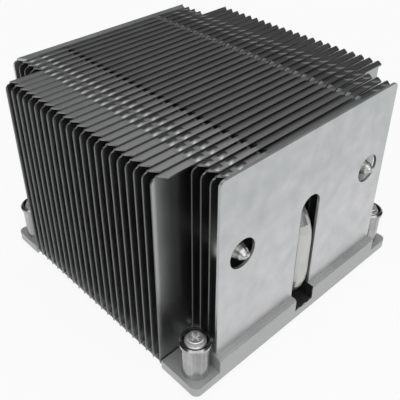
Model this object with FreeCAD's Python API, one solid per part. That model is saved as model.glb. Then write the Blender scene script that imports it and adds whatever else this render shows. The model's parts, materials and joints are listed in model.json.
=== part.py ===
import FreeCAD, Part
import math
import os

from FreeCAD import Vector

# Passive heatsink for a square server processor socket, 2U height class.
#
# A machined aluminium base carries three U-shaped heat pipes, a stack of thin
# folded fins between two thicker end plates, and four captive spring screws.
# Millimetres. +Z is up. The origin is the centre of the contact face, which
# lies on z = 0. The fins stand across Y, so air flows along X between them.
# "Front" is -Y, "rear" is +Y, "left" is -X and "right" is +X.

# ---------------------------------------------------------------- dimensions

# Captive spring screws. Their square sets the base, so they come first.
SCREW_SPACING = 80.0
THREAD_D = 4.0
SHANK_D = 3.6
HEAD_D = 6.6
HEAD_H = 2.4
HEAD_PROUD = 0.8            # the head's top stands this far above the cup
HEAD_ROUND = 0.5
HEAD_CLEARANCE = 0.2        # all round the head, in the cup
DRIVE_SPAN = 3.8
DRIVE_WIDTH = 0.9
DRIVE_DEPTH = 1.3
TIP_Z = 0.4
TIP_CHAMFER = 0.35
CUP_HEIGHT = 12.4           # above the ear
CUP_WALL = 0.4
CUP_FLOOR_T = 0.6
CUP_LIP = 0.5
CUP_LIP_H = 1.4
SPIGOT_WALL = 0.8
SPIGOT_CLEARANCE = 0.2      # all round the thread, in the spigot
SEAT_CLEARANCE = 0.02       # pressed fit of the cup's spigot in the ear
RING_OVERLAP = 0.4          # the ring reaches this far past the spigot
RING_T = 0.6
RING_GAP = 0.1              # between the ring and the ear above it
RING_MOUTH = 2.6
GROOVE_DEPTH = 0.4
GROOVE_CLEARANCE = 0.05
SPRING_CLEARANCE = 0.3      # all round the spring, in the cup
SPRING_WIRE_D = 0.7
SPRING_TURNS = 4
SPRING_STEPS = 8            # straight steps in one turn
SPRING_SIDES = 6

# Base: a thick block along the middle, and four thin ears at its corners.
EAR_MARGIN_X = 5.0          # from a screw's axis to the side of the base
EAR_MARGIN_Y = 5.5          # from a screw's axis to the front or rear
EAR_T = 3.0
EAR_CORNER_R = 2.0
BLOCK_CLEARANCE = 0.1       # between the block and a cup
BLOCK_HEIGHT = 8.0
BLOCK_CHAMFER = 0.6
EAR_CLEARANCE = 0.3         # between an ear and the wide fin beside it

# Copper contact plate under the base.
CONTACT_INSET = 3.0         # from the side of the block
CONTACT_SETBACK = 12.5      # from the front and rear of the base
CONTACT_T = 2.5
CONTACT_CHAMFER = 0.5

# Fin stack.
FIN_COUNT = 30              # sheets in the stack, both end plates included
FIN_T = 0.45
END_PLATE_T = 0.8
FRONT_LEDGE = 2.1           # the stack starts this far behind the base's front
REAR_OVERHANG = 0.35        # and ends this far past its rear
STACK_TOP_Z = 67.5
NOTCHED_FINS = 4            # sheets of the narrow group at each end
FIN_CUP_GAP = 0.2           # between a narrow fin and the lip of a cup
FOLD_R = 0.9                # outer radius of the folds
FOLD_INSET = 1.5            # the folded lip stops short of the sheet's sides
LIP_TAPER = 1.6             # and its free edge is this much shorter at each end
CORNER_R = 1.5
BEND_FLATS = 3              # flats that make up a fold or a rounded corner
SEAM_GAP = 0.06             # between a folded lip and the sheet before it
WING_CLEARANCE = 0.3        # between a wide fin's wing and the block
WING_LIFT = 1.5             # a wing ends this far above the base's underside
WINDOW_X = 19.2             # interlock windows, from the middle plane
WINDOW_WIDTH = 2.6
WINDOW_REACH = 1.1          # how far a window cuts into the lip

# Heat pipes.
PIPE_D = 6.0
PIPE_SPACING = 27.0
PIPE_UPPER_Z = 42.0
PIPE_FLOOR = 0.2            # metal-to-metal gap under the buried leg
PIPE_BEND_R = 12.0
PIPE_PROUD = 1.1            # the U-bend stands this far out of its end plate
PIPE_CLEARANCE = 0.05
PIPE_SIDES = 16
PIPE_BEND_FLATS = 8         # straight steps in a quarter bend
PIPE_END_COVER = 1.5        # the contact plate reaches this far past a buried leg
NOSE_TIP_D = 4.0
NOSE_LENGTH = 2.6
NOSE_PROUD = 1.3            # the closed end stands this far out of its plate
NOSE_CLEARANCE = 0.6        # room past the buried nose
DOME_ANGLES = (0, 25, 50, 75)
HOLE_SIDES = 8              # a pipe's hole in a fin
SLOT_WIDTH = 8.0            # slot that the U-bend needs in the sheets and the base
SLOT_RUNOUT = 3.0           # the groove stays open below this far into the bend
END_HOLE_D = 9.0            # hole round a pipe nose in an end plate

OVERCUT = 1.0               # how far a cutting solid reaches past the metal

# ------------------------------------------------------------- worked-out sizes

CUP_BORE_D = HEAD_D + 2 * HEAD_CLEARANCE
CUP_D = CUP_BORE_D + 2 * CUP_WALL
SPIGOT_BORE_D = THREAD_D + 2 * SPIGOT_CLEARANCE
SPIGOT_D = SPIGOT_BORE_D + 2 * SPIGOT_WALL
RING_D = SPIGOT_D + 2 * RING_OVERLAP
GROOVE_D = THREAD_D - 2 * GROOVE_DEPTH
SPRING_MEAN_D = CUP_BORE_D - 2 * SPRING_CLEARANCE - SPRING_WIRE_D
BASE_WIDTH = SCREW_SPACING + 2 * EAR_MARGIN_X
BASE_DEPTH = SCREW_SPACING + 2 * EAR_MARGIN_Y
BLOCK_WIDTH = SCREW_SPACING - CUP_D - 2 * BLOCK_CLEARANCE
CONTACT_WIDTH = BLOCK_WIDTH - 2 * CONTACT_INSET
CONTACT_DEPTH = BASE_DEPTH - 2 * CONTACT_SETBACK
NARROW_WIDTH = SCREW_SPACING - CUP_D - 2 * CUP_LIP - 2 * FIN_CUP_GAP
WIDE_WIDTH = BASE_WIDTH     # the wide fins end flush with the ears
BASE_UNDERSIDE = CONTACT_T
EAR_TOP = BASE_UNDERSIDE + EAR_T
BLOCK_TOP = BASE_UNDERSIDE + BLOCK_HEIGHT
PIPE_R = PIPE_D / 2
PIPE_LOWER_Z = BASE_UNDERSIDE + PIPE_FLOOR + PIPE_R
PIPE_BURIED_END = CONTACT_DEPTH / 2 - PIPE_END_COVER
LAST = FIN_COUNT - 1
STACK_FRONT_Y = FRONT_LEDGE - BASE_DEPTH / 2
STACK_REAR_Y = REAR_OVERHANG + BASE_DEPTH / 2
FIN_PITCH = (STACK_REAR_Y - STACK_FRONT_Y - END_PLATE_T) / LAST
RING_TOP = BASE_UNDERSIDE - RING_GAP
CUP_FLOOR_TOP = EAR_TOP + CUP_FLOOR_T
CUP_TOP_Z = EAR_TOP + CUP_HEIGHT
HEAD_TOP_Z = CUP_TOP_Z + HEAD_PROUD
HEAD_BOTTOM_Z = HEAD_TOP_Z - HEAD_H
ACROSS = Vector(1, 0, 0)
BACK = Vector(0, 1, 0)
UP = Vector(0, 0, 1)
# name -> (x, side of the U-bend: -1 front, +1 rear)
PIPES = {"heat_pipe_centre": (0.0, -1),
         "heat_pipe_left": (-PIPE_SPACING, 1),
         "heat_pipe_right": (PIPE_SPACING, 1)}
# name -> signs of X and Y
CORNERS = {"front_left": (-1, -1), "front_right": (1, -1),
           "rear_left": (-1, 1), "rear_right": (1, 1)}


# -------------------------------------------------------------------- helpers

def box(x0, x1, y0, y1, z0, z1):
    """A box between two corners."""
    return Part.makeBox(x1 - x0, y1 - y0, z1 - z0, Vector(x0, y0, z0))


def polygon(corners):
    return Part.makePolygon(corners + corners[:1])


def prism(corners, direction):
    """A flat outline pushed along a direction."""
    return Part.Face(polygon(corners)).extrude(direction)


def quarter(centre, first, second, radius):
    """Corners of a quarter bend in flats, from the first direction to the second."""
    turns = [math.pi / 2 * step / BEND_FLATS for step in range(BEND_FLATS + 1)]
    return [centre + first * (radius * math.cos(turn)) + second * (radius * math.sin(turn))
            for turn in turns]


def ring_corners(centre, first, second, radius, sides):
    """Corners of a many-sided ring about centre, in the plane of two directions."""
    turns = [2 * math.pi * side / sides for side in range(sides)]
    return [centre + first * (radius * math.cos(turn)) + second * (radius * math.sin(turn))
            for turn in turns]


def tube(rings, sides):
    """Ruled skin through rings given as centre, two directions and radius."""
    sections = [polygon(ring_corners(*ring, sides)) for ring in rings]
    return Part.makeLoft(sections, True, True)


def one_solid(shape):
    """The cleaned solid of a fused or cut shape."""
    solids = shape.removeSplitter().Solids
    if len(solids) != 1:
        raise ValueError("expected one solid, got %d" % len(solids))
    return solids[0]


def turned(points, x, y):
    """Revolve a closed radius-height profile about the vertical at x, y."""
    profile = Part.Face(polygon([Vector(radius, 0, z) for radius, z in points]))
    solid = profile.revolve(Vector(), UP, 360)
    solid.translate(Vector(x, y, 0))
    return solid


# ----------------------------------------------------------------- heat pipes

def nose_profile():
    """Distance past the leg and radius, along a necked-down, domed pipe end."""
    tip_r = NOSE_TIP_D / 2
    dome = [(NOSE_LENGTH + tip_r * math.sin(math.radians(angle)),
             tip_r * math.cos(math.radians(angle))) for angle in DOME_ANGLES]
    return [(0, PIPE_R)] + dome


def pipe_plan(side):
    """Y of the bend's centre, and of the full-width ends of both legs."""
    nose_total = nose_profile()[-1][0]
    near_face, far_face = STACK_FRONT_Y, STACK_REAR_Y
    if side > 0:
        near_face, far_face = far_face, near_face
    centre = near_face + side * (PIPE_PROUD - PIPE_R - PIPE_BEND_R)
    upper_end = far_face - side * (NOSE_PROUD - nose_total)
    lower_end = -side * (PIPE_BURIED_END - nose_total)
    return centre, upper_end, lower_end


def heat_pipe(x, side):
    """U-shaped pipe, from its upper nose round the bend to its buried nose."""
    centre_y, upper_end, lower_end = pipe_plan(side)
    stations = [(upper_end - side * reach, PIPE_UPPER_Z, 0, radius)
                for reach, radius in reversed(nose_profile())]
    for centre_z, start in ((PIPE_UPPER_Z - PIPE_BEND_R, 0), (PIPE_LOWER_Z + PIPE_BEND_R, 1)):
        for step in range(PIPE_BEND_FLATS + 1):
            turn = math.pi / 2 * (start + step / PIPE_BEND_FLATS)
            stations.append((centre_y + side * PIPE_BEND_R * math.sin(turn),
                             centre_z + PIPE_BEND_R * math.cos(turn), turn, PIPE_R))
    stations += [(lower_end - side * reach, PIPE_LOWER_Z, math.pi, radius)
                 for reach, radius in nose_profile()]
    rings = [(Vector(x, y, z), ACROSS, Vector(0, side * math.sin(turn), math.cos(turn)), radius)
             for y, z, turn, radius in stations]
    return tube(rings, PIPE_SIDES)


# ----------------------------------------------------------------------- base

def pipe_groove(x, side):
    """Groove for a buried leg, open below, and a slot that follows its bend."""
    centre, _, _ = pipe_plan(side)
    radius = PIPE_R + PIPE_CLEARANCE
    low, high = sorted((centre + side * SLOT_RUNOUT,
                        -side * (PIPE_BURIED_END + NOSE_CLEARANCE)))
    arch = Part.makeCylinder(radius, high - low, Vector(x, low, PIPE_LOWER_Z), BACK)
    mouth = box(x - radius, x + radius, low, high, 0, PIPE_LOWER_Z)
    low, high = sorted((side * BASE_DEPTH, centre))
    half = SLOT_WIDTH / 2
    slot = box(x - half, x + half, low, high, EAR_TOP, BLOCK_TOP + OVERCUT)
    round_bend = Part.makeCylinder(PIPE_BEND_R + radius, SLOT_WIDTH,
                                   Vector(x - half, centre, PIPE_LOWER_Z + PIPE_BEND_R), ACROSS)
    below = box(x - half, x + half, low, high, 0, EAR_TOP)
    return arch.fuse([mouth, slot, round_bend.common(below)])


def ear_blank(sx, sy):
    """Thin ear at one corner, from the block to the base's rounded corner."""
    half_w, half_d = BASE_WIDTH / 2, BASE_DEPTH / 2
    waist_front, waist_rear = wide_span()
    inner = EAR_CLEARANCE - waist_front if sy < 0 else EAR_CLEARANCE + waist_rear
    x0, x1 = sorted((0, sx * half_w))
    y0, y1 = sorted((sy * inner, sy * half_d))
    ear = box(x0, x1, y0, y1, BASE_UNDERSIDE, EAR_TOP)
    corner = [e for e in ear.Edges
              if e.CenterOfMass.x * sx > half_w - EAR_CORNER_R
              and e.CenterOfMass.y * sy > half_d - EAR_CORNER_R
              and abs(e.Vertexes[0].Z - e.Vertexes[1].Z) > EAR_T / 2]
    return ear.makeFillet(EAR_CORNER_R, corner)


def base_plate():
    """Thick middle block with four thin ears and the pipe grooves."""
    half_d = BASE_DEPTH / 2
    block = box(-BLOCK_WIDTH / 2, BLOCK_WIDTH / 2, -half_d, half_d, BASE_UNDERSIDE, BLOCK_TOP)
    top_edges = [e for e in block.Edges
                 if min(v.Z for v in e.Vertexes) > BLOCK_TOP - BLOCK_CHAMFER
                 and abs(e.CenterOfMass.y) > half_d - BLOCK_CHAMFER]
    block = block.makeChamfer(BLOCK_CHAMFER, top_edges)
    base = block.fuse([ear_blank(sx, sy) for sx, sy in CORNERS.values()])
    base = base.cut([pipe_groove(x, side) for x, side in PIPES.values()])
    holes = []
    for sx, sy in CORNERS.values():
        centre = Vector(sx * SCREW_SPACING / 2, sy * SCREW_SPACING / 2, 0)
        holes.append(Part.makeCylinder(SPIGOT_D / 2 + SEAT_CLEARANCE, BLOCK_TOP, centre))
    return one_solid(base.cut(holes))


def contact_plate():
    """Copper plate under the base; its underside is the contact face."""
    half_w, half_d = CONTACT_WIDTH / 2, CONTACT_DEPTH / 2
    plate = box(-half_w, half_w, -half_d, half_d, 0, CONTACT_T)
    rim = [e for e in plate.Edges if max(v.Z for v in e.Vertexes) < CONTACT_T / 2]
    return plate.makeChamfer(CONTACT_CHAMFER, rim)


# ----------------------------------------------------------------------- fins

def fin_y(index):
    """Front face of sheet number index, counted from the front end plate."""
    return STACK_FRONT_Y + index * FIN_PITCH


def is_end(index):
    return index in (0, LAST)


def thickness_of(index):
    return END_PLATE_T if is_end(index) else FIN_T


def wide_span():
    """Front and rear Y of the full-width group."""
    return fin_y(NOTCHED_FINS), fin_y(LAST - NOTCHED_FINS) + FIN_T


def is_wide(index):
    return NOTCHED_FINS <= index <= LAST - NOTCHED_FINS


def half_width(index):
    return (WIDE_WIDTH if is_wide(index) else NARROW_WIDTH) / 2


def web(index, top, bottom):
    """Upright sheet between its folds; a wide one has wings beside the block."""
    half = half_width(index)
    wing = BLOCK_WIDTH / 2 + WING_CLEARANCE
    tip = BASE_UNDERSIDE + WING_LIFT

    def at(x, z):
        return Vector(x, fin_y(index), z)

    foot = [at(-half, bottom), at(half, bottom)]
    if is_wide(index):
        foot = [at(-half, tip), at(-wing, tip), at(-wing, bottom),
                at(wing, bottom), at(wing, tip), at(half, tip)]
    inset, shoulder = half - CORNER_R, top - CORNER_R
    outline = foot + quarter(at(inset, shoulder), ACROSS, UP, CORNER_R)
    outline += quarter(at(-inset, shoulder), UP, -ACROSS, CORNER_R)
    return prism(outline, BACK * thickness_of(index))


def folded_lip(index, half, level, up):
    """Quarter fold and tapered lip towards the front; up is +1 at the top, -1 below."""
    thickness = thickness_of(index)
    inner = FOLD_R - thickness
    end = fin_y(index - 1) + thickness_of(index - 1) + SEAM_GAP
    centre = Vector(-half, fin_y(index) - inner, level - up * FOLD_R)
    outline = quarter(centre, BACK, UP * up, FOLD_R)
    outline += [Vector(-half, end, level), Vector(-half, end, level - up * thickness)]
    outline += reversed(quarter(centre, BACK, UP * up, inner))
    short = half - LIP_TAPER
    floor = min(level, level - up * FOLD_R)
    plan = [Vector(-half, centre.y, floor), Vector(-short, end, floor),
            Vector(short, end, floor), Vector(half, centre.y, floor),
            Vector(half, centre.y + FOLD_R, floor), Vector(-half, centre.y + FOLD_R, floor)]
    return prism(outline, ACROSS * (2 * half)).common(prism(plan, UP * FOLD_R))


def windows(index):
    """Two interlock windows through the top fold."""
    y = fin_y(index)
    half = WINDOW_WIDTH / 2
    return [box(x - half, x + half, y - WINDOW_REACH, y + FIN_T + OVERCUT,
                STACK_TOP_Z - FOLD_R, STACK_TOP_Z + OVERCUT) for x in (-WINDOW_X, WINDOW_X)]


def hole(x, y0, y1, radius, sides):
    """Cutter for an upper leg's hole: round, or many-sided about that circle."""
    centre = Vector(x, y0, PIPE_UPPER_Z)
    if not sides:
        return Part.makeCylinder(radius, y1 - y0, centre, BACK)
    reach = radius / math.cos(math.pi / sides)
    return prism(ring_corners(centre, ACROSS, UP, reach, sides), BACK * (y1 - y0))


def pipe_openings(index):
    """Holes for the upper legs, and slots where a U-bend passes the sheet."""
    thickness = thickness_of(index)
    y0, y1 = fin_y(index) - FIN_PITCH, fin_y(index) + thickness + OVERCUT
    cuts = []
    for x, side in PIPES.values():
        centre, _, _ = pipe_plan(side)
        nearest = fin_y(index) + (thickness if side > 0 else 0)
        in_bend = nearest * side > centre * side - PIPE_CLEARANCE
        half_slot = SLOT_WIDTH / 2
        if in_bend:
            cuts.append(box(x - half_slot, x + half_slot, y0, y1, 0, PIPE_UPPER_Z))
            cuts.append(hole(x, y0, y1, half_slot, 0))
        elif is_end(index):
            cuts.append(hole(x, y0, y1, END_HOLE_D / 2, 0))
        else:
            cuts.append(hole(x, y0, y1, PIPE_R + PIPE_CLEARANCE, HOLE_SIDES))
    return cuts


def sheet(index):
    """One sheet of the stack; only the front end plate has no folds."""
    if index == 0:
        return one_solid(web(index, STACK_TOP_Z, BLOCK_TOP).cut(pipe_openings(index)))
    upright = web(index, STACK_TOP_Z - FOLD_R, BLOCK_TOP + FOLD_R)
    lips = [folded_lip(index, half_width(index) - FOLD_INSET, STACK_TOP_Z, 1),
            folded_lip(index, NARROW_WIDTH / 2 - FOLD_INSET, BLOCK_TOP, -1)]
    cuts = pipe_openings(index)
    if index != LAST:
        cuts += windows(index)
    return one_solid(upright.fuse(lips).cut(cuts))


def sheet_name(index):
    if index == 0:
        return "front_end_plate"
    if index == LAST:
        return "rear_end_plate"
    return "fin_%02d" % index


# -------------------------------------------------------------- spring screws

def spring_cup(x, y):
    """Turned cup on an ear, with a spigot pressed through the ear."""
    spigot, bore = SPIGOT_D / 2, SPIGOT_BORE_D / 2
    outer, inner = CUP_D / 2, CUP_BORE_D / 2
    lip = outer + CUP_LIP
    points = [(bore, BASE_UNDERSIDE), (spigot, BASE_UNDERSIDE), (spigot, EAR_TOP),
              (outer, EAR_TOP), (outer, CUP_TOP_Z - CUP_LIP_H - CUP_LIP),
              (lip, CUP_TOP_Z - CUP_LIP_H), (lip, CUP_TOP_Z - CUP_LIP),
              (outer, CUP_TOP_Z), (inner, CUP_TOP_Z), (inner, CUP_FLOOR_TOP),
              (bore, CUP_FLOOR_TOP)]
    return turned(points, x, y)


def spring_screw(x, y):
    """Shouldered screw with a cross recess and a groove for its ring."""
    shank, head, groove = SHANK_D / 2, HEAD_D / 2, GROOVE_D / 2
    thread = THREAD_D / 2
    groove_top = RING_TOP + GROOVE_CLEARANCE
    groove_bottom = RING_TOP - RING_T - GROOVE_CLEARANCE
    points = [(0, TIP_Z), (thread - TIP_CHAMFER, TIP_Z), (thread, TIP_Z + TIP_CHAMFER),
              (thread, groove_bottom), (groove, groove_bottom), (groove, groove_top),
              (shank, groove_top), (shank, HEAD_BOTTOM_Z), (head, HEAD_BOTTOM_Z),
              (head, HEAD_TOP_Z - HEAD_ROUND), (head - HEAD_ROUND, HEAD_TOP_Z),
              (0, HEAD_TOP_Z)]
    body = turned(points, x, y)
    span, half = DRIVE_SPAN / 2, DRIVE_WIDTH / 2
    floor, top = HEAD_TOP_Z - DRIVE_DEPTH, HEAD_TOP_Z + OVERCUT
    cross = [box(x - span, x + span, y - half, y + half, floor, top),
             box(x - half, x + half, y - span, y + span, floor, top)]
    return one_solid(body.cut(cross))


def retaining_ring(x, y, sx):
    """Open ring in the screw's groove, its mouth facing away from the block."""
    z0 = RING_TOP - RING_T
    inner = GROOVE_D / 2 + GROOVE_CLEARANCE
    ring = Part.makeCylinder(RING_D / 2, RING_T, Vector(x, y, z0))
    ring = ring.cut(Part.makeCylinder(inner, RING_T, Vector(x, y, z0)))
    left, right = sorted((x, x + sx * RING_D))
    mouth = box(left, right, y - RING_MOUTH / 2, y + RING_MOUTH / 2, 0, RING_TOP)
    return one_solid(ring.cut(mouth))


def spring(x, y):
    """Compression spring between the cup's floor and the screw's head."""
    wire_r = SPRING_WIRE_D / 2
    bottom = CUP_FLOOR_TOP + wire_r
    top = HEAD_BOTTOM_Z - wire_r
    steps = SPRING_TURNS * SPRING_STEPS
    rings = []
    for step in range(steps + 1):
        turn = 2 * math.pi * step / SPRING_STEPS
        outward = Vector(math.cos(turn), math.sin(turn), 0)
        centre = Vector(x, y, bottom + (top - bottom) * step / steps)
        rings.append((centre + outward * (SPRING_MEAN_D / 2), outward, UP, wire_r))
    return tube(rings, SPRING_SIDES)


# ----------------------------------------------------------------------- build

def build():
    parts = {"base_plate": base_plate(), "contact_plate": contact_plate()}
    for name, (x, side) in PIPES.items():
        parts[name] = heat_pipe(x, side)
    for index in range(FIN_COUNT):
        parts[sheet_name(index)] = sheet(index)
    for corner, (sx, sy) in CORNERS.items():
        x, y = sx * SCREW_SPACING / 2, sy * SCREW_SPACING / 2
        parts["spring_cup_" + corner] = spring_cup(x, y)
        parts["spring_screw_" + corner] = spring_screw(x, y)
        parts["retaining_ring_" + corner] = retaining_ring(x, y, sx)
        parts["spring_" + corner] = spring(x, y)
    return parts


os.makedirs("parts", exist_ok=True)
for node, shape in build().items():
    if not shape.isValid() or shape.Volume <= 0:
        raise ValueError(node + " is not a valid solid")
    shape.exportStep("parts/%s.step" % node)
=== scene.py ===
# %% [markdown]
# # A passive processor heatsink, lesson by lesson
# The metal parts come from a imported frame: a base, a contact plate, three heat pipes,
# twenty-eight fins between two end plates, and four spring screws in cups. This script
# never moves or reshapes them. It gives each one the finish that its maker would give it,
# with some light and shade painted into the colours, puts finer screws and springs in place
# of the plain ones, and adds small things: window tongues, folded feet, crimped pipe tips and
# a dark liner of painted shade in the pipe notches. The file keeps to metres, the unit that
# Blender counts in.

# %% Load the frame
import json
import math

import bpy
import numpy as np
from mathutils import Matrix, Vector


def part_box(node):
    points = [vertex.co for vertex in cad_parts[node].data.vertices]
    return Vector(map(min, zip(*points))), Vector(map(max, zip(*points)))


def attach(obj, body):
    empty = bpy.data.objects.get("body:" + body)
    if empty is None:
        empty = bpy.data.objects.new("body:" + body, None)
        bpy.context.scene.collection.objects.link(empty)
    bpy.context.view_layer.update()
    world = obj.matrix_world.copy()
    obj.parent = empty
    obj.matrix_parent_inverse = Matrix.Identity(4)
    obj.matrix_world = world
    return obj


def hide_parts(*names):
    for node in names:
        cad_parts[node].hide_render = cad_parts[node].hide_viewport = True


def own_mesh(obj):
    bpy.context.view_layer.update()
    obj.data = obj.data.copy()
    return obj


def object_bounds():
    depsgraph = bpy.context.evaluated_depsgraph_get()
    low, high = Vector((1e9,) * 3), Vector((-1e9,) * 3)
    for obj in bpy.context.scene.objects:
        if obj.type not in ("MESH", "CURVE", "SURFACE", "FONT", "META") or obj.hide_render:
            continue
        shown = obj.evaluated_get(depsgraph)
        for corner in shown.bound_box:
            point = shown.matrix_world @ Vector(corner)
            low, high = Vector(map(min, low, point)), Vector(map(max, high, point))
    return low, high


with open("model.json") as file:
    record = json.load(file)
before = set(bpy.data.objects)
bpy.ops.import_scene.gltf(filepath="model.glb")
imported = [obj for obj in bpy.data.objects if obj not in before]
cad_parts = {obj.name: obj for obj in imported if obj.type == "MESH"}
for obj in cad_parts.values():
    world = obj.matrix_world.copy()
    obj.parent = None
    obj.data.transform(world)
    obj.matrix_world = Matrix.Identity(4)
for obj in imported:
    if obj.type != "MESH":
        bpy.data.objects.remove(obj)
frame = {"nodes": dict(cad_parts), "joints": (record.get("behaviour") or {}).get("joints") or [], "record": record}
cad_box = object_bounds()
nodes = frame["nodes"]
MM = 0.001
HEATSINK = "heatsink"
SCREW = "spring_screw_"
print("nodes in the frame:", len(nodes))

# %% [markdown]
# ## Reading sizes from the frame
# Every added piece needs to know where the fins, pipes and screws are. The frame gives
# each node's box, so those places are worked out and not typed in. A few sizes that a box
# can't tell, such as where the windows are, are named beside their use.

# %% Sizes from the frame
fin_names = sorted(name for name in nodes if name.startswith("fin_"))
corners = sorted(name[len(SCREW):] for name in nodes if name.startswith(SCREW))
rear_faces = np.array([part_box(name)[1].y for name in fin_names])
pitch = float(np.mean(np.diff(rear_faces)))
stack_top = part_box(fin_names[10])[1].z  # any wide fin would do
plate_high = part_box("front_end_plate")[1]
low, high = cad_box
print("stack top %.1f mm, %d fins %.2f mm apart" % (stack_top / MM, len(fin_names), pitch / MM))

# %% [markdown]
# ## Camera
# A slightly long lens from the front left, looking down by about thirty-five degrees. The
# small shift moves the object in the frame without tilting its uprights.

# %% Camera
CAMERA_PLACE = Vector((-113.3, -118.1, 145.6)) * MM
CAMERA_AZIMUTH = math.radians(-42.8)
CAMERA_ELEVATION = math.radians(34.9)
CAMERA_ROLL = math.radians(-0.42)
back = Vector((math.sin(CAMERA_AZIMUTH) * math.cos(CAMERA_ELEVATION),
               -math.cos(CAMERA_AZIMUTH) * math.cos(CAMERA_ELEVATION),
               math.sin(CAMERA_ELEVATION)))
camera_data = bpy.data.cameras.new("camera")
camera_data.sensor_width = 36.0
camera_data.lens = 55.34
camera_data.shift_x = 0.0215
camera_data.shift_y = -0.068
camera_data.clip_start = 0.01
camera = bpy.data.objects.new("camera", camera_data)
bpy.context.scene.collection.objects.link(camera)
camera.location = CAMERA_PLACE
camera.rotation_euler = ((-back).to_track_quat("-Z", "Y").to_matrix()
                         @ Matrix.Rotation(CAMERA_ROLL, 3, "Z")).to_euler()
bpy.context.scene.camera = camera
print("camera at %s mm" % [round(v / MM, 1) for v in camera.location])

# %% [markdown]
# ## Shader maths as Python
# A finish is arithmetic on noise and position. Wiring Math nodes by hand hides the
# arithmetic, so a small class wraps a socket and turns each Python operator into a node.

# %% A socket with operators
class Signal:
    """One output socket. Arithmetic on it adds Math nodes to its tree."""

    def __init__(self, shop, socket):
        self.shop = shop
        self.socket = socket

    def math(self, operation, *others):
        values = dict(enumerate((self,) + others))
        return self.shop.node("ShaderNodeMath", {"operation": operation}, values)[0]

    def __add__(self, other):
        return self.math("ADD", other)

    def __sub__(self, other):
        return self.math("SUBTRACT", other)

    def __rsub__(self, other):
        return self * -1.0 + other

    def __mul__(self, other):
        return self.math("MULTIPLY", other)

    def __abs__(self):
        return self.math("ABSOLUTE")

    __radd__ = __add__

    def above(self, edge, width):
        """0 below edge, 1 above it, with a ramp of that width between."""
        ramp = self * (1 / width) + (0.5 - edge / width)
        return ramp.math("MAXIMUM", 0.0).math("MINIMUM", 1.0)

    def near(self, place, reach):
        """A round bump: 1 at place, falling to 0 at reach to either side."""
        off = (self - place) * (1 / reach)
        return (1.0 - off * off).math("MAXIMUM", 0.0)


# %% [markdown]
# ## A shop for one finish
# Each material is one shop: it holds the node tree, adds nodes from a type, its settings
# and the values or links of its sockets, and ends in a Principled shader. The floor and
# the room are made in the same way.

# %% The shop
PAPER_WHITE = 0.985


class Outputs:
    """The outputs of one node, by number or name, as signals."""

    def __init__(self, shop, made):
        self.shop = shop
        self.made = made

    def __getitem__(self, key):
        return Signal(self.shop, self.made.outputs[key])


class Shop:
    """The node tree of one material, or of the world."""

    def __init__(self, owner, shader="Principled BSDF", output="Material Output"):
        owner.use_nodes = True
        self.owner = owner
        self.tree = owner.node_tree
        self.shader = self.tree.nodes[shader]
        self.surface = self.tree.nodes[output].inputs["Surface"]
        self.coordinates = self.node("ShaderNodeTexCoord", {}, {})
        self.place = self.coordinates["Object"]

    def node(self, kind, settings, values):
        """Add a node, set its settings first, then its sockets. Returns its outputs."""
        made = self.tree.nodes.new(kind)
        for key, value in settings.items():
            setattr(made, key, value)
        for key, value in values.items():
            self.feed(made.inputs[key], value)
        return Outputs(self, made)

    def feed(self, socket, value):
        if isinstance(value, Signal):
            self.tree.links.new(value.socket, socket)
        elif isinstance(value, tuple) and socket.type == "RGBA":
            socket.default_value = (*value, 1.0)
        else:
            socket.default_value = value

    def axes(self, vector):
        """The x, y and z of a vector signal."""
        made = self.node("ShaderNodeSeparateXYZ", {}, {0: vector})
        return made[0], made[1], made[2]

    def noise(self, stretch, detail=2.0, shift=0.0):
        """Noise from 0 to 1, with stretch features to the metre along x, y and z."""
        mapped = self.node("ShaderNodeMapping", {}, {
            "Vector": self.place, "Location": (shift, shift, shift), "Scale": stretch})
        return self.node("ShaderNodeTexNoise", {},
                         {"Vector": mapped[0], "Scale": 1.0, "Detail": detail})[0]

    def tint(self, amount, first, second):
        """A colour between two, by a signal from 0 to 1. Colour sockets are 6 and 7."""
        return self.node("ShaderNodeMix", {"data_type": "RGBA"},
                         {0: amount, 6: first, 7: second})[2]

    def relief(self, height):
        """The surface's normal after a height in metres is laid over it."""
        return self.node("ShaderNodeBump", {},
                         {"Height": height, "Distance": 1.0, "Strength": 1.0})[0]

    def blend(self, amount, first, second):
        """A direction between two, by a signal from 0 to 1. Vector sockets are 4 and 5."""
        return self.node("ShaderNodeMix", {"data_type": "VECTOR"},
                         {0: amount, 4: first, 5: second})[1]

    def finish(self, values):
        """Feed the tree's own shader and hand back the material or world."""
        for key, value in values.items():
            self.feed(self.shader.inputs[key], value)
        return self.owner

    def metal(self, colour, roughness, normal):
        return self.finish({"Metallic": 1.0, "Base Color": colour,
                            "Roughness": roughness, "Normal": normal})

    def show_white(self, rays, share):
        """Lit as before, but a share of plain white light to the named kinds of ray."""
        path = self.node("ShaderNodeLightPath", {}, {})
        seen = path[rays[0]]
        for ray in rays[1:]:
            seen = seen.math("MAXIMUM", path[ray])
        white = self.node("ShaderNodeEmission", {}, {"Color": (PAPER_WHITE,) * 3})[0]
        lit = Signal(self, self.shader.outputs[0])
        mixed = self.node("ShaderNodeMixShader", {}, {0: seen * share, 1: lit, 2: white})[0]
        self.feed(self.surface, mixed)


# %% [markdown]
# ## Rolled sheet for the end plates
# Aluminium sheet leaves the rolling mill with fine lines along its length and a soft,
# uneven sheen. Long thin noise gives the lines, round noise the sheen, and both stay
# faint, because a plate that looks scratched reads as damaged. Its tone also falls a
# little from its foot to its top. That fall is a painted reflection of the bright floor,
# which the foot mirrors more of.

# %% End plate finish
# Painted reflection: the plate's tone falls with height, as if its foot mirrored more floor.
PAINTED_REFLECTION_FALL = 8.0  # of its range of tone, for each metre of height


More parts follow.
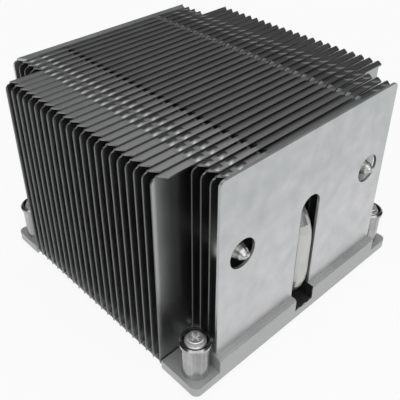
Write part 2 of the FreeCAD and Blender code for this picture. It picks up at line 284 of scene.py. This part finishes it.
def rolled_sheet():
    shop = Shop(bpy.data.materials.new("rolled_sheet"))
    lines = shop.noise((60, 60, 9000), detail=3.0)
    haze = shop.noise((55, 55, 55), shift=3.0)
    mottle = shop.noise((210, 210, 210), detail=3.0, shift=1.0)
    grain = (lines - 0.5) * 0.15 + (haze - 0.5) * 0.9 + (mottle - 0.5) * 1.1
    # The last term is the painted reflection, darker towards the top.
    tone = grain + 0.85 - shop.axes(shop.place)[2] * PAINTED_REFLECTION_FALL
    colour = shop.tint(tone, (0.49, 0.52, 0.515), (0.70, 0.69, 0.705))
    rough = (lines - 0.5) * 0.10 + (haze - 0.5) * 0.12 + 0.46
    return shop.metal(colour, rough, shop.relief(lines * 2e-6))


# %% [markdown]
# ## Fin stock
# The fins are the same metal, thinner, and blanked in a press. Three marks of the press
# are worth the trouble. The sheared side edges are torn and matt, and their dark colour
# is painted shade. Outside the two rows of windows the lips droop a little, so the left
# half catches more of the room than the right. And there the die has punched two rows
# of slanted clips, one pair to a fin, that lock each lip to the next. The lips are also
# crowned, the seam behind each of them is painted dark as shade, and the edges of the
# wide fins curl back. The faces between the lips are a darker copy of the lip metal,
# also painted shade. All of this is relief and tone, too shallow to be worth a mesh.

# %% Fin finish
WINDOW_ROW = 19.2 * MM
CLIP_ROWS = (27.2 * MM, 31.8 * MM)
CLIP_REACH = 1.7 * MM
CLIP_SLANT = 0.3
CLIP_HEIGHT = 0.42 * MM
RIGHT_CLIP_LOSS = 0.16 * MM  # the right clips are this much lower
DROOP = 0.11  # slope of the lips outward of the windows
TIP_ROW = 34.5 * MM
TIP_DROOP = 0.06  # more slope beyond that row
CROWN = 0.30 * MM
CURL_WIDTH = 1.3 * MM
CURL = 70.0  # the fall is this times the square of the distance into the curl


def lip_phase(along):
    """How far a point lies through its lip: 0 at one fold, 1 at the next."""
    return ((along - rear_faces[0]) * (1 / pitch)).math("FRACT")


def clips(side, along):
    """Punched clips: where two ridges cross, one along a row, one slanted across the lips."""
    first, second = (side.near(row, CLIP_REACH)
                     * lip_phase(along + (side - row) * CLIP_SLANT).near(0.42, 0.36)
                     for row in CLIP_ROWS)
    return first + second


def past(signal, edge):
    """Distance beyond an edge, 0 before it."""
    return (signal - edge).math("MAXIMUM", 0.0)


def fin_stock():
    shop = Shop(bpy.data.materials.new("fin_stock"))
    across, along, _ = shop.axes(shop.place)
    facing_x, _, facing_z = shop.axes(shop.coordinates["Normal"])
    side = abs(across)
    lip = facing_z.above(0.6, 0.3)
    matt_and_shaded_edge = abs(facing_x).above(0.75, 0.2)
    lines = shop.noise((70, 9000, 9000))
    haze = shop.noise((90, 400, 90))

    tone = (lines - 0.5) * 0.20 + (haze - 0.5) * 0.5 + 0.5
    # The faces between the lips get a darker copy of the lip metal: painted shade between the fins.
    shaded_face = shop.tint(tone, (0.36, 0.37, 0.365), (0.46, 0.47, 0.465))
    lip_tone = shop.tint(tone, (0.52, 0.53, 0.525), (0.62, 0.63, 0.62))
    phase = lip_phase(along)
    # Painted shade: each lip darkens towards the seam behind it, less so in the outer bands.
    seam_shade = phase.above(0.66, 0.5) * (0.85 - side.above(28 * MM, 6 * MM) * 0.68)
    lip_with_seam_shade = shop.tint(seam_shade, lip_tone, (0.05, 0.05, 0.05))
    # The cut edges get a dark colour as painted shade. Their extra roughness below is their matt shear.
    colour = shop.tint(matt_and_shaded_edge, shop.tint(lip, shaded_face, lip_with_seam_shade), (0.21, 0.215, 0.21))
    rough = lip * 0.03 + matt_and_shaded_edge * 0.2 + (haze - 0.5) * 0.10 + 0.32

    droop = past(side, WINDOW_ROW) * -DROOP + past(side, TIP_ROW) * -TIP_DROOP
    crown = phase.near(0.25, 0.9) * (1.0 - side.above(28 * MM, 14 * MM) * 0.85) * CROWN
    punched = clips(side, along) * (CLIP_HEIGHT - across.above(0.0, 4 * MM) * RIGHT_CLIP_LOSS)
    lip_normal = shop.relief(lines * 1.5e-6 + droop + crown + punched)
    curl = past(side, high.x - CURL_WIDTH)
    face_normal = shop.relief(lines * 1.5e-6 - curl * curl * CURL)
    return shop.metal(colour, rough, shop.blend(lip, face_normal, lip_normal))


# %% [markdown]
# ## Milled base
# The base is cut from bar. The cutter leaves fine lines along it, and the metal is a
# little duller than sheet.

# %% Base finish
def milled_base():
    shop = Shop(bpy.data.materials.new("milled_base"))
    lines = shop.noise((40, 2500, 6000), detail=3.0)
    haze = shop.noise((70, 70, 70))
    tone = (lines - 0.5) * 0.4 + (haze - 0.5) * 0.7 + 0.5
    colour = shop.tint(tone, (0.44, 0.45, 0.45), (0.62, 0.625, 0.62))
    rough = (haze - 0.5) * 0.2 + 0.62
    return shop.metal(colour, rough, shop.relief(lines * 4e-6))


# %% [markdown]
# ## Copper, nickel and steel
# The contact plate is ground copper. Pipes and cups are nickel plated. Screws are plated
# steel, and springs and rings are a darker steel. They differ in tone, sheen and grain, so
# one function with those as its arguments makes them all.

# %% Other metals
def plain_metal(name, dark, light, rough, stretch, depth):
    """A metal whose tone wanders between two colours and whose grain is depth high."""
    shop = Shop(bpy.data.materials.new(name))
    grain = shop.noise(stretch, detail=3.0)
    haze = shop.noise((150, 150, 150))
    tone = (grain - 0.5) * 0.9 + (haze - 0.5) * 0.6 + 0.5
    return shop.metal(shop.tint(tone, dark, light), (grain - 0.5) * 0.1 + rough,
                      shop.relief(grain * depth))


finishes = {
    "base_aluminium": milled_base(),
    "end_plate_aluminium": rolled_sheet(),
    "fin_aluminium": fin_stock(),
    "contact_copper": plain_metal("ground_copper", (0.62, 0.30, 0.20), (0.80, 0.44, 0.30), 0.28,
                                  (60, 4000, 60), 3e-6),
    "pipe_nickel": plain_metal("satin_nickel", (0.50, 0.50, 0.49), (0.62, 0.62, 0.61), 0.34,
                               (400, 400, 400), 4e-6),
    "cup_nickel": plain_metal("bright_nickel", (0.12, 0.12, 0.12), (0.68, 0.68, 0.68), 0.20,
                              (700, 700, 30), 6e-6),
    "screw_steel": plain_metal("plated_steel", (0.72, 0.72, 0.72), (0.88, 0.88, 0.88), 0.42,
                               (900, 900, 900), 4e-6),
    "ring_steel": plain_metal("spring_steel_strip", (0.26, 0.26, 0.27), (0.38, 0.38, 0.38), 0.38,
                              (900, 900, 900), 3e-6),
    "spring_steel": plain_metal("drawn_wire", (0.36, 0.36, 0.37), (0.50, 0.50, 0.50), 0.30,
                                (900, 900, 900), 3e-6),
}
slot_of = {sub["node"]: sub["material_slot"] for sub in frame["record"]["subparts"]}
for name, thing in nodes.items():
    thing.data.materials.clear()
    thing.data.materials.append(finishes[slot_of[name]])
print("finishes:", len(finishes))

# %% [markdown]
# ## Making a mesh from whole arrays
# Each small piece below is a grid of points, worked out as one numpy array. Many copies
# of a piece are the same grid plus an array of shifts, so a row of tongues costs one
# addition and no loop over points. A face is listed so that it looks outward, and a
# piece whose grid runs the other way lists each face backwards.

# %% Grids and copies
def add_piece(name, points, faces, body, finish):
    """Make an object from arrays, let it ride on a body and give it its slot's finish."""
    mesh = bpy.data.meshes.new(name)
    mesh.from_pydata(points.reshape(-1, 3).tolist(), [], faces.tolist())
    mesh.update()
    piece = bpy.data.objects.new(name, mesh)
    bpy.context.scene.collection.objects.link(piece)
    mesh.materials.append(finish)
    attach(piece, body)
    print("%s: %d faces" % (name, len(faces)))
    return piece


def grid_faces(rows, columns, copies=1, closed=False):
    """Four-cornered faces of a grid whose points run row by row, for each copy in turn."""
    steps = columns if closed else columns - 1
    row, column = np.meshgrid(np.arange(rows - 1), np.arange(steps), indexing="ij")
    after = (column + 1) % columns
    corner = np.stack([row * columns + column, row * columns + after,
                       (row + 1) * columns + after, (row + 1) * columns + column], axis=-1)
    first = np.arange(copies) * rows * columns
    return (corner.reshape(-1, 4) + first[:, None, None]).reshape(-1, 4)


def turned_round(faces, when=True):
    """The same faces, looking the other way."""
    return faces[:, ::-1] if when else faces


def thicken(piece, thickness):
    """Give a sheet a wall behind its faces."""
    wall = piece.modifiers.new("wall", "SOLIDIFY")
    wall.thickness = thickness
    wall.offset = -1.0


def close_poles(piece):
    """Weld the rings of points that have shrunk to one place."""
    piece.modifiers.new("close_poles", "WELD").merge_threshold = 0.004 * MM


# %% [markdown]
# ## Window tongues
# The metal of each window isn't cut away but bent down from its outer edge, and hooks
# under the next lip. Seen from one side the tongues are hidden and the windows are black,
# and from the other they shine. A tongue is a strip that leaves its edge level and turns
# down along a quarter wave.

# %% Window tongues
# The tongues get a darker copy of the fin metal: painted shade, as they lie in the windows under the lips.
shaded_tongue_metal = plain_metal("burnished_tongue", (0.18, 0.19, 0.19), (0.32, 0.32, 0.32), 0.50,
                        (900, 900, 900), 3e-6)
TONGUE_RUN = 2.3 * MM
TONGUE_DROP = 1.9 * MM
TONGUE_LENGTH = 1.3 * MM
TONGUE_WALL = 0.2 * MM
TONGUE_TOP = stack_top - 0.03 * MM
WINDOW_EDGE = WINDOW_ROW + 1.25 * MM


def window_tongues(side):
    """x falls evenly from the window's edge; z falls by one minus a cosine of the way."""
    way = np.linspace(0.0, 1.0, 9)
    wide = np.linspace(0.0, 1.0, 3)
    along, across = np.meshgrid(wide, way, indexing="ij")
    strip = np.stack([side * (WINDOW_EDGE - across * TONGUE_RUN),
                      -TONGUE_LENGTH * along - 0.12 * MM,
                      TONGUE_TOP - TONGUE_DROP * (1 - np.cos(across * math.pi / 2))], axis=-1)
    shift = np.zeros((len(rear_faces), 1, 1, 3))
    shift[:, 0, 0, 1] = rear_faces
    faces = turned_round(grid_faces(3, 9, len(rear_faces)), side < 0)
    name = "tongues_right" if side > 0 else "tongues_left"
    thicken(add_piece(name, strip[None] + shift, faces, HEATSINK, shaded_tongue_metal),
            TONGUE_WALL)


for side in (-1, 1):
    window_tongues(side)

# %% [markdown]
# ## Foot lips
# The wide fins hang past the base on both sides. Their feet are folded forward to the
# next fin, as their tops are, so the side of the stack closes into a smooth, dark edge
# instead of a comb. Each lip is a quarter circle and a flat, drawn along the fin.

# %% Foot lips
FOOT_FOLD = 0.7 * MM
FOOT_GAP = 0.05 * MM
FOOT_WALL = 0.3 * MM


def foot_lips(side):
    """Across a lip: down a quarter circle, then forward. Along it: straight out."""
    wide = [name for name in fin_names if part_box(name)[1].x > high.x - 0.5 * MM]
    turn = np.linspace(0.0, math.pi / 2, 8)
    fold = FOOT_FOLD * np.stack([np.cos(turn) - 1, 1 - np.sin(turn)], axis=-1)
    flat = np.array([[0.25 * MM - pitch, 0.0]])
    outline = np.concatenate([fold, (fold[-1:] + flat) / 2, flat])
    reach = np.linspace(plate_high.x + 1.4 * MM, high.x - 0.5 * MM, 6)
    strip = np.stack(np.broadcast_arrays(
        side * reach[:, None], outline[:, 0] - FOOT_GAP, outline[:, 1] + FOOT_GAP), axis=-1)
    shift = np.array([[0.0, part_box(name)[1].y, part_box(name)[0].z] for name in wide])
    faces = turned_round(grid_faces(6, len(outline), len(wide)), side < 0)
    name = "foot_lips_right" if side > 0 else "foot_lips_left"
    thicken(add_piece(name, strip[None] + shift[:, None, None, :], faces,
                      HEATSINK, finishes["fin_aluminium"]), FOOT_WALL)


for side in (-1, 1):
    foot_lips(side)

# %% [markdown]
# ## Turned screws
# The solid screws have one plain shoulder and a smooth tip. These are turned: a cap on a
# flange, a shank, a rolled thread and a cross. All of that is one surface. Its outline is a
# list of radii and heights, its thread a wave that climbs once round for each pitch, and
# its cross a dip in the cap wherever a point is close to either of two crossing lines.

# %% Screws
THREAD_PITCH = 0.7 * MM
THREAD_DEPTH = 0.1 * MM
SHANK, NECK, THREAD = 1.8 * MM, 1.6 * MM, 1.9 * MM
FLANGE, CAP, UNDERCUT = 3.05 * MM, 2.35 * MM, 2.1 * MM
HEAD_DROP = 2.36 * MM  # from the cap's top to the flange's underside
CROSS_HALF, CROSS_REACH, CROSS_DEPTH = 0.42 * MM, 1.55 * MM, 0.9 * MM
STATION = 0.12 * MM
AROUND = 72


def corners_of(node):
    """The low and high corners of a node's box, as plain numbers."""
    return [tuple(point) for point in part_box(node)]


def resample(outline, step):
    """Points along a polyline about step apart, with every corner kept."""
    outline = np.array(outline, float)
    length = np.linalg.norm(np.diff(outline, axis=0), axis=1)
    way = np.concatenate([[0.0], np.cumsum(length)])
    inner = np.arange(step / 2, way[-1], step)
    stops = np.unique(np.concatenate([way, inner]))
    return np.stack([np.interp(stops, way, outline[:, k]) for k in (0, 1)], axis=-1)


def screw_outline(tip, top, ring_low, ring_high):
    """Radius and height from the tip's centre, up the outside, to the cap's centre."""
    head = top - HEAD_DROP
    return [(0, tip), (THREAD - 0.4 * MM, tip), (THREAD, tip + 0.4 * MM),
            (THREAD, ring_low - 0.15 * MM), (NECK, ring_low - 0.1 * MM),
            (NECK, ring_high + 0.1 * MM), (SHANK, ring_high + 0.15 * MM), (SHANK, head),
            (FLANGE - 0.2 * MM, head), (FLANGE, head + 0.2 * MM), (FLANGE, top - 1.45 * MM),
            (FLANGE - 0.2 * MM, top - 1.25 * MM), (UNDERCUT, top - 1.2 * MM),
            (UNDERCUT, top - 1.0 * MM), (CAP, top - 0.9 * MM), (CAP, top - 0.25 * MM),
            (CAP - 0.1 * MM, top - 0.07 * MM), (CAP - 0.25 * MM, top), (0, top)]


def turned_screw(corner):
    """Radius by height round an axis, plus a climbing wave for the thread, less the cross."""
    node = SCREW + corner
    (x0, y0, tip), (x1, y1, top) = corners_of(node)
    ring_low, ring_high = (point[2] for point in corners_of("retaining_ring_" + corner))
    stations = resample(screw_outline(tip, top, ring_low, ring_high), STATION)
    angle = np.linspace(0.0, 2 * math.pi, AROUND, endpoint=False)
    radius, height = stations[:, :1], stations[:, 1:]

    on_thread = ((radius > 0.99 * THREAD) & (height > tip + 0.35 * MM)
                 & (height < ring_low - 0.2 * MM))
    wave = 0.5 + 0.5 * np.cos(2 * math.pi * height / THREAD_PITCH - angle)
    radius = radius + on_thread * wave * THREAD_DEPTH

    away = np.minimum(np.abs(np.cos(angle)), np.abs(np.sin(angle))) * radius
    cross = (np.clip((CROSS_HALF - away) / (0.15 * MM), 0, 1)
             * np.clip((CROSS_REACH - radius) / (0.2 * MM), 0, 1))
    height = height - cross * (height > top - 0.1 * MM) * CROSS_DEPTH

    points = np.stack([(x0 + x1) / 2 + radius * np.cos(angle),
                       (y0 + y1) / 2 + radius * np.sin(angle), height + 0 * angle], axis=-1)
    piece = add_piece("turned_screw_" + corner, points,
                      grid_faces(len(stations), AROUND, closed=True),
                      "screw_" + corner, finishes["screw_steel"])
    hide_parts(node)
    close_poles(piece)


for corner in corners:
    turned_screw(corner)

# %% [markdown]
# ## Wound springs
# A compression spring has a dead turn at each end, where the wire lies almost flat, and
# climbs evenly between them. The wire is a circle carried along that helix.

# %% Springs
WIRE = 0.35 * MM
WIRE_SIDES = 12
DEAD_CLIMB = 0.75 * MM
ACTIVE_TURNS = 4
STEPS_A_TURN = 32


def wound_spring(corner):
    """A helix whose climb has three straight stretches, and a circle of wire round it."""
    node, joint = "spring_" + corner, "press_" + corner
    (x0, y0, foot), (x1, y1, head) = corners_of(node)
    climb = head - foot - 2 * WIRE
    turns = ACTIVE_TURNS + 2
    turn = np.linspace(0.0, turns, STEPS_A_TURN * turns + 1)[:, None]
    rise = np.interp(turn, [0, 1, turns - 1, turns], [0, DEAD_CLIMB, climb - DEAD_CLIMB, climb])
    angle = 2 * math.pi * turn
    round_wire = np.linspace(0.0, 2 * math.pi, WIRE_SIDES, endpoint=False)
    radius = (x1 - x0) / 2 - WIRE + WIRE * np.cos(round_wire)
    x, y = (x0 + x1) / 2, (y0 + y1) / 2
    points = np.stack([x + radius * np.cos(angle), y + radius * np.sin(angle),
                       foot + WIRE + rise + WIRE * np.sin(round_wire)], axis=-1)
    faces = turned_round(grid_faces(len(turn), WIRE_SIDES, closed=True))
    piece = add_piece("wound_spring_" + corner, points, faces,
                      HEATSINK, finishes["spring_steel"])
    travel = next(row["range_m"][1] for row in frame["joints"] if row["name"] == joint)
    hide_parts(node)
    1.0 - travel / (head - foot)
    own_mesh(piece)


for corner in corners:
    wound_spring(corner)

# %% [markdown]
# ## Crimped pipe tips
# A heat pipe is filled, pinched shut and trimmed. The pinch leaves a small crater with a
# rounded rim in the middle of each nose, which shows in the holes of the end plates. The
# rim is a ring of sine arches, pushed out and pulled in twice on its way round.

# %% Crimps
PIPE_RADIUS = 3.0 * MM
CRIMP_RADIUS = 1.5 * MM
CRIMP_LIFT = 0.12 * MM
CRIMP_RINGS, CRIMP_AROUND = 14, 36


def crimp(name, node):
    """Forward reach over radius: an arch between centre and edge, wavy round the axis."""
    low_corner, high_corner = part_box(node)
    angle = np.linspace(0.0, 2 * math.pi, CRIMP_AROUND, endpoint=False)
    part = np.linspace(0.0, 1.0, CRIMP_RINGS)[:, None]
    reach = np.sin(part * math.pi) * (0.5 + 0.12 * np.cos(2 * angle)) - part ** 3 * 0.9
    radius = CRIMP_RADIUS * part * (1 + 0.08 * np.cos(2 * angle))
    points = np.stack([(low_corner.x + high_corner.x) / 2 + radius * np.cos(angle),
                       low_corner.y - reach * MM + CRIMP_LIFT,
                       high_corner.z - PIPE_RADIUS + radius * np.sin(angle)], axis=-1)
    faces = turned_round(grid_faces(CRIMP_RINGS, CRIMP_AROUND, closed=True))
    close_poles(add_piece(name, points, faces, HEATSINK, finishes["pipe_nickel"]))


crimp("crimp_left", "heat_pipe_left")
crimp("crimp_right", "heat_pipe_right")

# %% [markdown]
# ## Painted shade in the notch
# Where a pipe bends down into the base, the notch is deep and gets little light. A thin,
# nearly black liner on its floor and walls paints that shade. The liner is a channel: a
# profile across the notch, carried along it, with a slow wave in its edge.

# %% Shade liner in the notch
# A nearly black finish: painted shade for the deep notches.
def burnt_flux():
    shop = Shop(bpy.data.materials.new("burnt_flux"))
    blot = shop.noise((500, 500, 500), detail=3.0)
    colour = shop.tint(blot, (0.004, 0.004, 0.004), (0.022, 0.021, 0.020))
    return shop.finish({"Base Color": colour, "Roughness": (blot - 0.5) * 0.3 + 0.55,
                        "Normal": shop.relief(blot * 4e-5)})


NOTCH_HALF = 3.96 * MM
NOTCH_FLOOR = 5.55 * MM
NOTCH_TOP = 10.4 * MM
NOTCH_DEPTH = 6.6 * MM
NOTCH_INSET = 0.05 * MM
LINER_WALL = 0.03 * MM
liner_shade_finish = burnt_flux()


def shade_liner(name, middle, mouth, inward):
    """A U across the notch, rounded in its corners, carried inward from the mouth."""
    way = np.linspace(-1.0, 1.0, 41)
    flat = np.clip(np.abs(way) - 0.5, 0.0, None) * 2
    across = NOTCH_HALF * np.clip(way * 2.0, -1.0, 1.0)
    rise = NOTCH_FLOOR + (NOTCH_TOP - NOTCH_FLOOR) * flat ** 1.15
    depth = np.linspace(0.0, 1.0, 18)[:, None]
    wavy = 0.15 * MM * (1 + np.sin(way * 17.0))
    points = np.stack([middle + across + 0 * depth,
                       mouth + inward * (wavy * (1 - depth) + depth * NOTCH_DEPTH),
                       rise + 0 * depth], axis=-1)
    faces = turned_round(grid_faces(18, 41), inward < 0)
    thicken(add_piece(name, points, faces, HEATSINK, liner_shade_finish), LINER_WALL)


base_low, base_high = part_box("base_plate")
pipe_low, pipe_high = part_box("heat_pipe_right")
pipe_x = (pipe_low.x + pipe_high.x) / 2
shade_liner("flux_front", 0.0, base_low.y + NOTCH_INSET, 1.0)
shade_liner("flux_rear_left", -pipe_x, base_high.y - NOTCH_INSET, -1.0)
shade_liner("flux_rear_right", pipe_x, base_high.y - NOTCH_INSET, -1.0)

# %% [markdown]
# ## Studio
# A white floor, one broad soft lamp and a dim room that is brighter overhead. Upright
# metal then mirrors the floor and level metal mirrors the room, as on a light table. The
# lens and the metal see the floor as paper white, through Light Path, while the lamp
# stays at a plain level and the floor keeps a soft shadow. Beyond the floor the lens sees
# the same white, and the metal mirrors the dim room.

# %% Floor
FLOOR_SIZE = 40.0
FLOOR_GAP = 0.02 * MM
PAPER_GREY = 0.90
SHADOW_KEPT = 0.10
SEEN_RAYS = ("Is Camera Ray", "Is Glossy Ray", "Is Transmission Ray")


def floor():
    """A square of paper. Its shadow fades out well beyond the object, so no edge shows."""
    mesh = bpy.data.meshes.new("floor")
    corner = np.array([(-1, -1), (1, -1), (1, 1), (-1, 1)]) * FLOOR_SIZE
    mesh.from_pydata([(x, y, low.z - FLOOR_GAP) for x, y in corner], [], [(0, 1, 2, 3)])
    made = bpy.data.objects.new("floor", mesh)
    bpy.context.scene.collection.objects.link(made)
    shop = Shop(bpy.data.materials.new("paper"))
    across, along, _ = shop.axes(shop.place)
    far = (across * across + along * along).above(0.6, 1.0)
    shop.show_white(SEEN_RAYS, (far - 1.0) * SHADOW_KEPT + 1.0)
    mesh.materials.append(shop.finish({
        "Base Color": (PAPER_GREY,) * 3, "Roughness": 0.9, "Specular IOR Level": 0.0}))
    return made


print("floor:", floor().name)

# %% Lamp and room
LAMP_PLACE = Vector((-0.9, -1.3, 2.7))
LAMP_AIM = Vector((0, 0, 0.03))
LAMP_SIZE = 5.6
LAMP_POWER = 104.0


def soft_lamp():
    """One round lamp, broad and dim, so that level metal mirrors no hard white patch."""
    data = bpy.data.lights.new("high", "AREA")
    data.shape = "DISK"
    data.size = LAMP_SIZE
    data.energy = LAMP_POWER
    lamp = bpy.data.objects.new("high", data)
    bpy.context.scene.collection.objects.link(lamp)
    lamp.location = LAMP_PLACE
    lamp.rotation_euler = (LAMP_AIM - LAMP_PLACE).to_track_quat("-Z", "Y").to_euler()


# Stretches of height on the sky, each with how much grey it adds from start to end.
HORIZON = 0.012
SKY_STEPS = ((0.0, 0.43, 0.030), (0.43, 0.55, 0.088), (0.55, 0.66, 0.15), (0.66, 0.90, 0.32))


def room():
    """A grey that rises from the horizon to overhead; the lens sees paper beyond the floor."""
    shop = Shop(bpy.data.worlds.new("room"), "Background", "World Output")
    upward = shop.axes(shop.coordinates["Generated"])[2]
    grey = sum(upward.above((start + end) / 2, end - start) * rise
               for start, end, rise in SKY_STEPS) + HORIZON
    shop.show_white(("Is Camera Ray",), 1.0)
    bpy.context.scene.world = shop.finish({"Color": grey})


soft_lamp()
room()
bpy.context.scene.view_settings.view_transform = "Standard"
